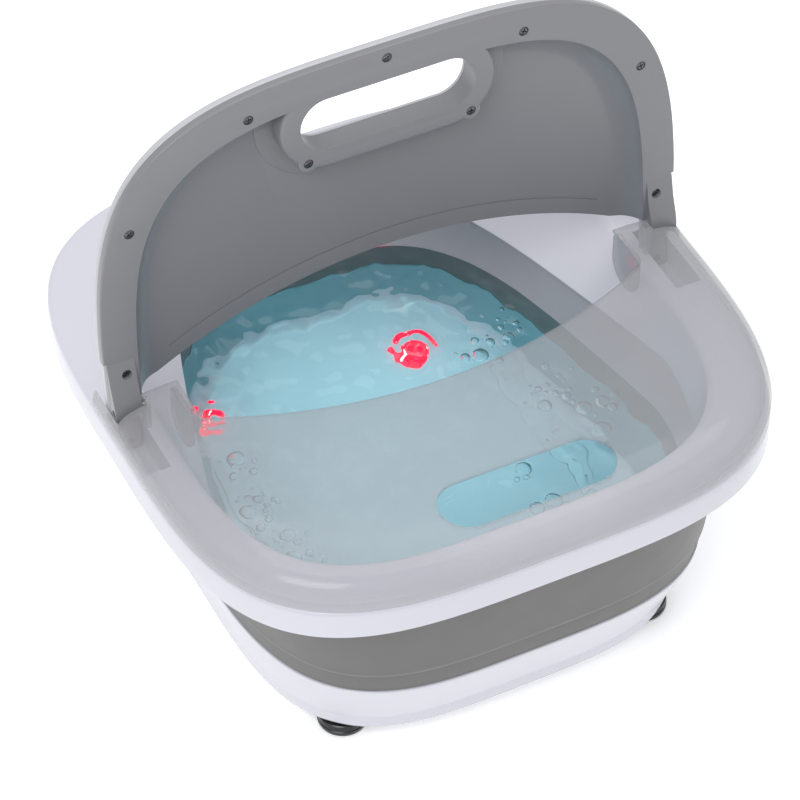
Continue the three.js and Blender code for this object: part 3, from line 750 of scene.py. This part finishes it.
BUBBLE_CLUSTERS = [
    (-110, 20, 14, 20), (-110, -16, 14, 30), (-116, -52, 15, 30), (-104, -78, 15, 28), (-72, -112, 16, 24),
    (80, 44, 14, 18), (111, -7, 20, 26), (126, -38, 18, 20), (100, 60, 14, 12), (57, -101, 9, 12), (50, -67, 8, 8),
]


def make_bubbles():
    """Air bubbles just under the surface, in clusters over the air strips."""
    rng = random.Random(11)
    source = bmesh.new()
    bmesh.ops.create_icosphere(source, subdivisions=3, radius=1)
    ball = np.array([v.co for v in source.verts])
    ball_faces = [tuple(v.index for v in f.verts) for f in source.faces]
    source.free()
    placed, vertices, faces = [], [], []
    for x, y, reach, number in BUBBLE_CLUSTERS:
        for _ in range(number):
            r = rng.choice([1.0, 1.5, 2.0, 2.8, 3.8, 5.0, 6.0]) * rng.uniform(0.8, 1.15)
            centre = (x + rng.gauss(0, reach / 2), y + rng.gauss(0, reach / 2))
            width = (WATER_X - 8) * (1 - WATER_TAPER * max(centre[1] - TAPER_START, 0))
            if abs(centre[0] / width) ** ROUNDNESS + abs(centre[1] / (WATER_REAR - 8)) ** ROUNDNESS > 1:
                continue
            if any(math.dist(centre, c) < r + q + 0.3 for c, q in placed):
                continue
            placed.append((centre, r))
            z = WATER_LEVEL - 1.6 - r * rng.uniform(0.9, 1.3)
            shape = ball * (r, r, r * 0.8) + (*centre, z)
            faces += [tuple(len(vertices) + i for i in f) for f in ball_faces]
            vertices += list(shape)
    bubbles = mesh("bubbles", vertices, faces, BUBBLE, smooth_angle=80)
    return sink_with_rim(bubbles)


# ---------- clear front cover ----------


def arc_distance(x):
    """Distance of the free edges' arc from the basin's middle."""
    return ARC_APEX - ARC_RADIUS + math.sqrt(ARC_RADIUS**2 - x**2)


def cover_stations(shrink, lift):
    """The cover's section from its foot to the edge of its flat top."""
    profile = [(0, GAP), (0, 8), (0.5, 9), (1.3, 12.8), (3.8, 17.4), (9, 21.1), (18, 23.7), (32, 25.2), (60, 25.8)]
    return [even(RIM_X - inset - shrink, RIM_Y - inset - shrink, RIM_TOP + z + lift, 3 if 0 < i < 8 else 0.3)
            for i, (inset, z) in enumerate(profile)]


def cover_plan():
    """Front half with an arced free edge, and an ear on each side of each lid leg."""
    slot_inner, slot_outer = LEG_INNER - 1.2, LEG_OUTER + 0.5
    slot_front = HINGE_Y - 6.9
    ear_inner, ear_end, rear = 153.0, EAR_END, COVER_HIGH[1]
    half = [(ear_inner, ear_end), (slot_inner, ear_end), (slot_inner, slot_front), (slot_outer, slot_front),
            (slot_outer, rear), (230, rear), (230, -240)]
    arc = [(x, -arc_distance(x)) for x in np.linspace(-ear_inner, ear_inner, 73)]
    return [*[(-x, y) for x, y in reversed(half)], *arc, *half]


def make_cover():
    inner = [even(s[0], s[1], s[3], 2) for s in reversed(cover_stations(COVER_WALL, -COVER_WALL))]
    inner[-1] = even(RIM_X - COVER_WALL, RIM_Y - COVER_WALL, RIM_TOP + GAP, 0.3)
    outer = cover_stations(0, 0)
    blank_shape = loft("front_cover_looks", soften([*inner, *outer], 2, closed=False, steps=3), closed=False)
    plan = plate("plan", [cover_plan()], RIM_TOP - 30, RIM_TOP + 60)
    combine(blank_shape, [plan], "INTERSECT")
    added = []
    cuts = [plate("oval", [stadium(HOLE_LENGTH, HOLE_HEIGHT, -HOLE_CENTRE)], RIM_TOP - 10, RIM_TOP + 50)]
    for side in (-1, 1):
        added.append(ear("ear", side * (LEG_INNER - 2.8), 3.2))
        added.append(hanging_tab(side))
        cuts.append(rod("bore", 2.85, 60, side * 186, HINGE_Y, HINGE_Z))
    combine(blank_shape, added, "UNION")
    combine(blank_shape, cuts, "DIFFERENCE")
    return stand_in(blank_shape, "cover", "front_cover", SMOKY)


def upright(obj, x):
    """Stands a plate drawn in (y, z) across X."""
    turn = Matrix(((0, 0, 1, 0), (1, 0, 0, 0), (0, 1, 0, 0), (0, 0, 0, 1)))
    obj.data.transform(Matrix.Translation((x * MM, 0, 0)) @ turn)
    return obj


def ear(name, x, thickness):
    """A hinge ear: a round-topped plate round the pin."""
    r, foot = 4.4, RIM_TOP + 0.6
    turns = np.linspace(0, math.pi, 25)
    points = [(HINGE_Y - r, foot), (HINGE_Y + r, foot)]
    points += [(HINGE_Y + r * math.cos(a), HINGE_Z + r * math.sin(a)) for a in turns]
    return upright(plate(name, [points], -thickness / 2, thickness / 2, 0.4), x)


def hanging_tab(side):
    """The rounded tab that hangs inside the rim, beside each lid leg."""
    middle, r, low, high = -7.5, 16.0, RIM_TOP + 2.5, RIM_TOP + 24.4
    turns = np.linspace(math.pi, 2 * math.pi, 33)
    points = [(middle + r * math.cos(a), low + r * math.sin(a)) for a in turns]
    points += [(middle + r, high - 6), (middle + 9, high), (middle - r, high)]
    return upright(plate("tab", [points], -1.4, 1.4, 0.5), side * 156.0)


# ---------- lid ----------

LID_PLACE = Matrix.Translation(Vector((0, HINGE_Y, HINGE_Z)) * MM) @ Matrix.Rotation(math.pi / 2 - LID_LEAN, 4, "X")


def arch_points(inset, lowest, steps=120):
    """Points of the basin's rear outline, inset and seen from the hinge axis, down to a height."""
    points = []
    for i in range(steps + 1):
        a = math.pi * i / steps
        power = 2 / ROUNDNESS
        x = (RIM_X - 1 - inset) * math.copysign(abs(math.cos(a)) ** power, math.cos(a))
        y = (RIM_Y - inset) * abs(math.sin(a)) ** power - HINGE_Y
        if y > lowest + 1:
            points.append((x, y))
    return points


def edge_points(half_width, rise, steps=96):
    """The lid's free edge, left to right. Beside the legs it clears the cover's ears."""
    places = np.linspace(-half_width, half_width, steps + 1)
    return [(x, max(arc_distance(x) - HINGE_Y - EDGE_DROP, EDGE_LOWEST) + rise) for x in places]


def lid_outline(inset):
    """The lid in its own plane: x across, y up from the hinge axis."""
    shoulder, notch = 36, -6.4
    arch = arch_points(inset, shoulder)
    outer, narrow, leg = LEG_OUTER - inset, TAIL_OUTER - inset, LEG_INNER + inset
    side = [(-outer, shoulder), (-outer, notch), (-narrow, notch), (-narrow, -TAIL_LENGTH), (-leg, -TAIL_LENGTH)]
    return [
        *arch, (arch[-1][0], shoulder), *side, *edge_points(leg, inset),
        *[(-x, y) for x, y in reversed(side)], (arch[0][0], shoulder),
    ]


def pan(name, grow, top, steps=8):
    """The sunken panel's hollow, grown by a wall's thickness: a tray whose wall curves in to its floor."""
    floor = LID_FACE - PAN_DEPTH - grow
    turns = np.linspace(0, math.pi / 2, steps)
    layers = [(PAN_INSET - grow, top)] if top > LID_FACE else []
    layers += [(PAN_INSET - grow + (PAN_FLOOR_INSET - PAN_INSET) * (1 - math.cos(a)) ** 0.8,
                LID_FACE + (floor - LID_FACE) * math.sin(a) ** 1.2) for a in turns]
    vertices, faces, count = [], [], PAN_POINTS
    for inset, z in layers:
        arch = [(x, y) for x, y in arch_points(inset, -1e3) if y > 0]
        arch = [(arch[0][0], 0), *arch, (arch[-1][0], 0)]
        vertices += [(x, y, z) for x, y in even_steps(arch, count)]
    for k in range(len(layers) - 1):
        a, b = k * count, (k + 1) * count
        faces += [(a + i, a + (i + 1) % count, b + (i + 1) % count, b + i) for i in range(count)]
    last = (len(layers) - 1) * count
    faces += [tuple(range(count))[::-1], tuple(last + i for i in range(count))]
    obj = mesh(name, vertices, faces)
    face_outward(obj.data)
    return obj


def even_steps(points, count):
    """Points at even steps along an open line, which a cap then closes."""
    points = np.array(points, float)
    along = np.concatenate([[0], np.cumsum(np.linalg.norm(np.diff(points, axis=0), axis=1))])
    steps = np.linspace(0, along[-1], count)
    return np.column_stack([np.interp(steps, along, points[:, 0]), np.interp(steps, along, points[:, 1])])


def under_edge():
    """What lies below the free edge, between the legs."""
    side = LEG_INNER - 0.6
    return plate("under", [[*edge_points(side, -0.07), (side, -2), (-side, -2)]], -50, 10)


def lowered(obj, depth):
    """Moves an object down, and returns it."""
    obj.data.transform(Matrix.Translation((0, 0, -depth * MM)))
    return obj


def above(z):
    """A block over the whole lid, above a height."""
    return block("above", 420, 460, 20, 0, 90, z + 10)


SCREW_SPOTS = [
    (0, 197), (-92, 184), (92, 184), (-173.5, 129), (173.5, 129), (-184.8, 25), (184.8, 25),
    (-BOSS_X, BOSS_Y), (BOSS_X, BOSS_Y), (-187, -30.5), (187, -30.5),
]


def tail_round():
    """What is cut off the tails, so that they end on an arc round the hinge axis."""
    chunk = block("chunk", 420, 60, 60, 0, -38, 0)
    return combine(chunk, [rod("turn", TAIL_LENGTH, 430, 0, 0, 0, count=96)], "DIFFERENCE")


def handle_hole():
    return plate("handle", [stadium(HOLE_LENGTH, HOLE_HEIGHT, HOLE_CENTRE - HINGE_Y)], -30, 10)


def pivot_pad(side):
    """The leg's low swelling round the hinge pin: a wedge that sinks into the leg above and below."""
    inner, outer = LEG_INNER + 0.15, LEG_OUTER - 0.15
    profile = [(-6.3, LID_FACE - 1), (-6.3, 1.4), (-4.4, 2.8), (2, 3.1), (8, 1.9), (20, -1.6), (34, LID_FACE + 0.2),
               (38, LID_FACE - 1)]
    count = len(profile)
    vertices = [(side * x, y, z) for x in (inner, outer) for y, z in profile]
    faces = [(i, (i + 1) % count, count + (i + 1) % count, count + i) for i in range(count)]
    faces += [tuple(range(count))[::-1], tuple(count + i for i in range(count))]
    pad = mesh("pad", vertices, faces)
    face_outward(pad.data)
    return pad


def make_lid_front():
    floor = LID_FACE - PAN_DEPTH
    shell = plate("lid_front_shell_looks", [lid_outline(0)], LID_SPLIT, LID_FACE, 0.9)
    combine(shell, [lowered(pan("tray", PAN_WALL, LID_FACE), 0.15)], "UNION")
    combine(shell, [pan("hollow", 0, LID_FACE + 6)], "DIFFERENCE")
    ring = stadium(HOLE_LENGTH + 26, HOLE_HEIGHT + 26, HOLE_CENTRE - HINGE_Y)
    raised = [plate("ring", [ring], floor - 0.6, LID_FACE - 0.1, 2.2, steps=5)]
    bosses = [circle(6.5, x, BOSS_Y) for x in (-BOSS_X, BOSS_X)]
    raised += [plate("boss", [boss], floor - 0.7, LID_FACE - 0.2, 0.8) for boss in bosses]
    round_ring = stadium(HOLE_LENGTH + 50, HOLE_HEIGHT + 50, HOLE_CENTRE - HINGE_Y)
    step = plate("step", [round_ring], floor - 0.6, floor + 1.2, 0.6)
    for piece in [*raised, step]:
        combine(piece, [pan("limit", PAN_WALL - 0.2, LID_FACE + 6)], "INTERSECT")
    for piece in (step, *raised, pivot_pad(-1), pivot_pad(1)):
        combine(shell, [piece], "UNION")
    holes = [plate("hole", [circle(1.9, x, y, 16)], -17, 0) for x, y in SCREW_SPOTS]
    sinks = [plate("sink", [circle(3.3, x, y, 24)], LID_FACE - 1.4, LID_FACE + 3) for x, y in SCREW_SPOTS]
    groove = plate("groove", [edge_band(12.0, 13.2)], floor - 0.5, LID_FACE - 8)
    bore = rod("bore", 2.55, 420, 0, 0, 0)
    for cut in (handle_hole(), under_edge(), *holes, *sinks, groove, bore, tail_round()):
        combine(shell, [cut], "DIFFERENCE")
    shell.data.transform(LID_PLACE)
    return stand_in(shell, "lid", "lid_front_shell", LID_GREY)


def edge_band(low, high):
    """A thin band along the free edge, between two heights above it."""
    return [*edge_points(150, low), *reversed(edge_points(150, high))]


def make_lid_back():
    back = LID_FACE - LID_THICKNESS
    shell = plate("lid_back_shell_looks", [lid_outline(0.6)], back, LID_SPLIT - 0.3, 1.6, steps=4)
    combine(shell, [lowered(pan("tray", 2 * PAN_WALL + GAP, LID_FACE), 0.15)], "UNION")
    holes = [plate("hole", [circle(1.9, x, y, 16)], LID_SPLIT - 4.6, LID_SPLIT + 3) for x, y in SCREW_SPOTS]
    cuts = [pan("hollow", PAN_WALL + GAP, LID_FACE + 6), above(LID_SPLIT - 0.25), handle_hole(), under_edge()]
    for cut in (*cuts, *holes, tail_round()):
        combine(shell, [cut], "DIFFERENCE")
    shell.data.transform(LID_PLACE)
    return stand_in(shell, "lid", "lid_back_shell", LID_BACK)


def make_hinge_pin(side):
    """The end of a pin that shows beside the leg, with a domed head."""
    low, high = extent(f"{side}_hinge_pin")
    r, length = (high[2] - low[2]) / 2, LEG_INNER - PIN_END
    profile = [(0, 0.4), (r - 0.8, 0.4), (r, 1.2), (r, length + 3), (0, length + 3)]
    pin = lathe(f"{side}_hinge_pin_looks", profile, count=32)
    turn = Matrix.Rotation(math.pi / 2 if side == "right" else -math.pi / 2, 4, "Y")
    x = PIN_END if side == "right" else -PIN_END
    pin.data.transform(Matrix.Translation(Vector((x, HINGE_Y, HINGE_Z)) * MM) @ turn)
    return stand_in(pin, "cover", f"{side}_hinge_pin", STEEL)


def make_lid_screws():
    """Pan-headed screws with a cross recess, all of one mesh."""
    profile = [(0, -9.4), (1.4, -9.4), (1.5, -1.1), (3.0, -1.1), (3.0, -0.55), (2.7, -0.2), (2.1, 0), (0, 0.05)]
    screw = lathe("screw", profile, SCREW, count=24)
    slots = [block("slot", 3.9, 0.8, 2, 0, 0, 0.1), block("slot", 0.8, 3.9, 2, 0, 0, 0.1)]
    combine(screw, slots, "DIFFERENCE")
    for i, (x, y) in enumerate(SCREW_SPOTS):
        copy = bpy.data.objects.new(f"lid_screw_{i + 1}_looks", screw.data.copy())
        bpy.context.scene.collection.objects.link(copy)
        turn = Matrix.Rotation(0.5 + i * 1.1, 4, "Z")
        copy.data.transform(LID_PLACE @ Matrix.Translation(Vector((x, y, LID_FACE - 0.2)) * MM) @ turn)
        stand_in(copy, "lid", f"lid_screw_{i + 1}")
    bpy.data.objects.remove(screw)


# ---------- stage, camera and light ----------


def make_stage():
    """A pale flat floor with a faint glow of its own."""
    data = bpy.data.meshes.new("floor")
    data.from_pydata([(-6, -6, 0), (6, -6, 0), (6, 6, 0), (-6, 6, 0)], [], [(0, 1, 2, 3)])
    floor = bpy.data.objects.new("floor", data)
    bpy.context.scene.collection.objects.link(floor)
    pale = moulded("floor", (0.93, 0.93, 0.935), 0.6, grain=60, depth=0.01, drift=0.006, flow=2, Emission_Strength=0.34)
    data.materials.append(pale)


VIEW_AZIMUTH, VIEW_ELEVATION = math.radians(-26.58), math.radians(44.24)
VIEW_DISTANCE = 2.4231  # from the middle of the rim's top
LENS, SENSOR = 172.5, 36.0
TARGET_RIGHT, TARGET_DOWN = -0.002275607, 0.038685318  # from the rim's middle to the picture's, in metres


def make_camera():
    data = bpy.data.cameras.new("camera")
    data.lens, data.sensor_width = LENS, SENSOR
    data.clip_end = 50
    camera = bpy.data.objects.new("camera", data)
    bpy.context.scene.collection.objects.link(camera)
    a, e = VIEW_AZIMUTH, VIEW_ELEVATION
    back = Vector((math.sin(a) * math.cos(e), -math.cos(a) * math.cos(e), math.sin(e)))
    right = Vector((math.cos(a), math.sin(a), 0))
    up = back.cross(right)
    middle = Vector((0, 0, RIM_TOP * MM))
    camera.location = middle + back * VIEW_DISTANCE
    target = middle + right * TARGET_RIGHT - up * TARGET_DOWN
    camera.rotation_euler = (target - camera.location).to_track_quat("-Z", "Y").to_euler()
    bpy.context.scene.camera = camera


def add_light(name, size, power, place, aim=(0, 0, 0.15), color=(1, 1, 1)):
    data = bpy.data.lights.new(name, "AREA")
    data.shape = "RECTANGLE"
    data.size, data.size_y = size
    data.energy = power
    data.color = color
    light = bpy.data.objects.new(name, data)
    bpy.context.scene.collection.objects.link(light)
    light.location = place
    light.rotation_euler = (Vector(aim) - Vector(place)).to_track_quat("-Z", "Y").to_euler()


def make_lights():
    world = bpy.data.worlds.new("studio")
    bpy.context.scene.world = world
    world.use_nodes = True
    world.node_tree.nodes["Background"].inputs["Color"].default_value = (0.97, 0.98, 1.0, 1)
    world.node_tree.nodes["Background"].inputs["Strength"].default_value = 0.56
    add_light("key", (1.6, 1.2), 34, (-1.4, -1.2, 2.4))
    add_light("top", (2.0, 2.0), 26, (0.4, 0.5, 2.6))
    add_light("fill", (1.2, 1.6), 1.5, (2.2, -0.9, 1.0))
    bpy.context.scene.view_settings.view_transform = "Standard"


make_camera()
paint_frame()
make_base_shell()
make_wet_liner()
make_wall_skin_painted_water_light()
for corner in ("front_left", "front_right", "rear_left", "rear_right"):
    make_foot(corner)
for side_name in ("left", "right"):
    make_lamp_lens(side_name)
    make_air_strip(side_name)
    make_hinge_pin(side_name)
make_rim()
make_bellows()
make_water_body()
make_bubbles()
make_cover()
make_lid_front()
make_lid_back()
make_lid_screws()
make_stage()
make_lights()
